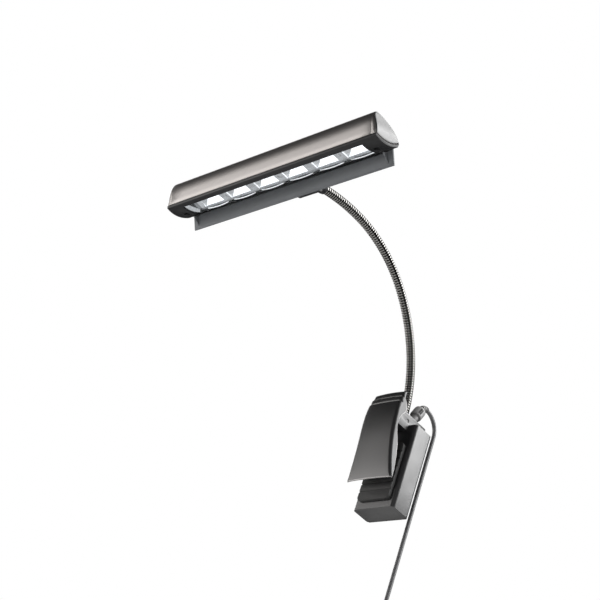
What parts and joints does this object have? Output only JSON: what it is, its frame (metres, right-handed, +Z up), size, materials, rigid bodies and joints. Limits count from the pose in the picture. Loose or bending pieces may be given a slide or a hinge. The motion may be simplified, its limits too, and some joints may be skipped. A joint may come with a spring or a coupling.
{
  "type": "clip-on reading lamp",
  "caption": "Clip-on reading lamp: a slim tilted light bar with a glare shield on a flexible gooseneck, a sprung lever clip with a battery housing, and a low-voltage lead with a mains adapter.",
  "frame": {"origin": "centre of the rear jaw pad's grip face, where the clamped plate's back face lies", "axes": "+X along the clamped edge, to the right seen from the reader's side; +Y from the plate towards the battery housing, so the lamp head hangs out along -Y; +Z up the plate"},
  "size_m": [0.196, 0.2549, 0.3995],
  "materials": {
    "housing_black": "satin moulded",
    "lever_black": "glossy moulded",
    "pad_rubber": "matte grooved",
    "cell_jacket": "printed film over steel",
    "contact_metal": "plated spring sheet",
    "board_green": "solder mask",
    "board_white": "white solder mask",
    "pin_steel": "plain steel",
    "neck_chrome": "ribbed, bright nickel",
    "wire_jacket": "thin insulation",
    "head_black": "fine satin",
    "underside_black": "satin moulded",
    "cap_black": "semi-gloss moulded",
    "window_clear": "clear moulded",
    "reflector_silver": "metallised plastic",
    "led_yellow": "phosphor in white frame",
    "screw_black": "black oxide",
    "switch_black": "moulded",
    "button_grey": "satin",
    "plug_black": "soft moulded",
    "cord_black": "soft jacket",
    "adapter_black": "fine spark texture",
    "pin_plated": "nickel plated"
  },
  "bodies": {
    "clip_body": {"rear_housing": "housing_black", "top_cover": "housing_black", "rear_jaw_pad": "pad_rubber", "battery_1": "cell_jacket", "battery_2": "cell_jacket", "battery_3": "cell_jacket", "contact_plate_top": "contact_metal", "contact_plate_low": "contact_metal", "driver_board": "board_green", "dc_jack": "switch_black", "pivot_pin": "pin_steel", "lever_spring": "pin_steel", "neck_segment_1": "neck_chrome", "neck_wire_1": "wire_jacket", "dc_plug": "plug_black", "plug_relief": "plug_black", "cord_lead": "cord_black", "cord_coil": "cord_black", "cord_tail": "cord_black", "cord_tie": "plug_black", "adapter_relief": "plug_black", "mains_adapter": "adapter_black", "adapter_pin_left": "pin_plated", "adapter_pin_right": "pin_plated"},
    "lever": {"clip_lever": "lever_black", "lever_jaw_pad": "pad_rubber", "spring_arm": "pin_steel"},
    "door": {"battery_door": "housing_black"},
    "neck_2": {"neck_segment_2": "neck_chrome", "neck_wire_2": "wire_jacket"},
    "neck_3": {"neck_segment_3": "neck_chrome", "neck_wire_3": "wire_jacket"},
    "neck_4": {"neck_segment_4": "neck_chrome", "neck_wire_4": "wire_jacket"},
    "head": {"neck_segment_5": "neck_chrome", "neck_wire_5": "wire_jacket", "neck_ferrule": "underside_black", "neck_mount": "underside_black", "mount_lid": "underside_black", "head_shell": "head_black", "end_cap_left": "cap_black", "end_cap_right": "cap_black", "bezel": "underside_black", "glare_shield": "underside_black", "window": "window_clear", "reflector": "reflector_silver", "led_board": "board_white", "led_1": "led_yellow", "led_2": "led_yellow", "led_3": "led_yellow", "led_4": "led_yellow", "led_5": "led_yellow", "led_6": "led_yellow", "bezel_screw_left": "screw_black", "bezel_screw_right": "screw_black", "switch_body": "switch_black"},
    "button": {"switch_button": "button_grey"}
  },
  "joints": [
    {"name": "lever_pivot", "type": "hinge", "parent": "clip_body", "child": "lever", "pos_m": [0, -0.0115, 0.042], "axis": [-1, 0, 0], "range_deg": [-3.3, 24], "stiffness_Nm_per_rad": 0.6, "springref_deg": -14.32},
    {"name": "door_slide", "type": "slide", "parent": "clip_body", "child": "door", "axis": [0, 0, -1], "range_m": [0, 0.03]},
    {"name": "neck_bend_1", "type": "hinge", "parent": "clip_body", "child": "neck_2", "pos_m": [0, -0.00102, 0.08365], "axis": [1, 0, 0], "range_deg": [-15, 15]},
    {"name": "neck_bend_2", "type": "hinge", "parent": "neck_2", "child": "neck_3", "pos_m": [0, -0.03456, 0.13156], "axis": [1, 0, 0], "range_deg": [-15, 15]},
    {"name": "neck_bend_3", "type": "hinge", "parent": "neck_3", "child": "neck_4", "pos_m": [0, -0.06254, 0.14771], "axis": [1, 0, 0], "range_deg": [-15, 15]},
    {"name": "neck_bend_4", "type": "hinge", "parent": "neck_4", "child": "head", "pos_m": [0, -0.09434, 0.15332], "axis": [1, 0, 0], "range_deg": [-15, 15]},
    {"name": "switch_press", "type": "slide", "parent": "head", "child": "button", "axis": [0, 0.3875, -0.9219], "range_m": [0, 0.001], "stiffness_N_per_m": 600, "springref_m": -0.0003}
  ]
}
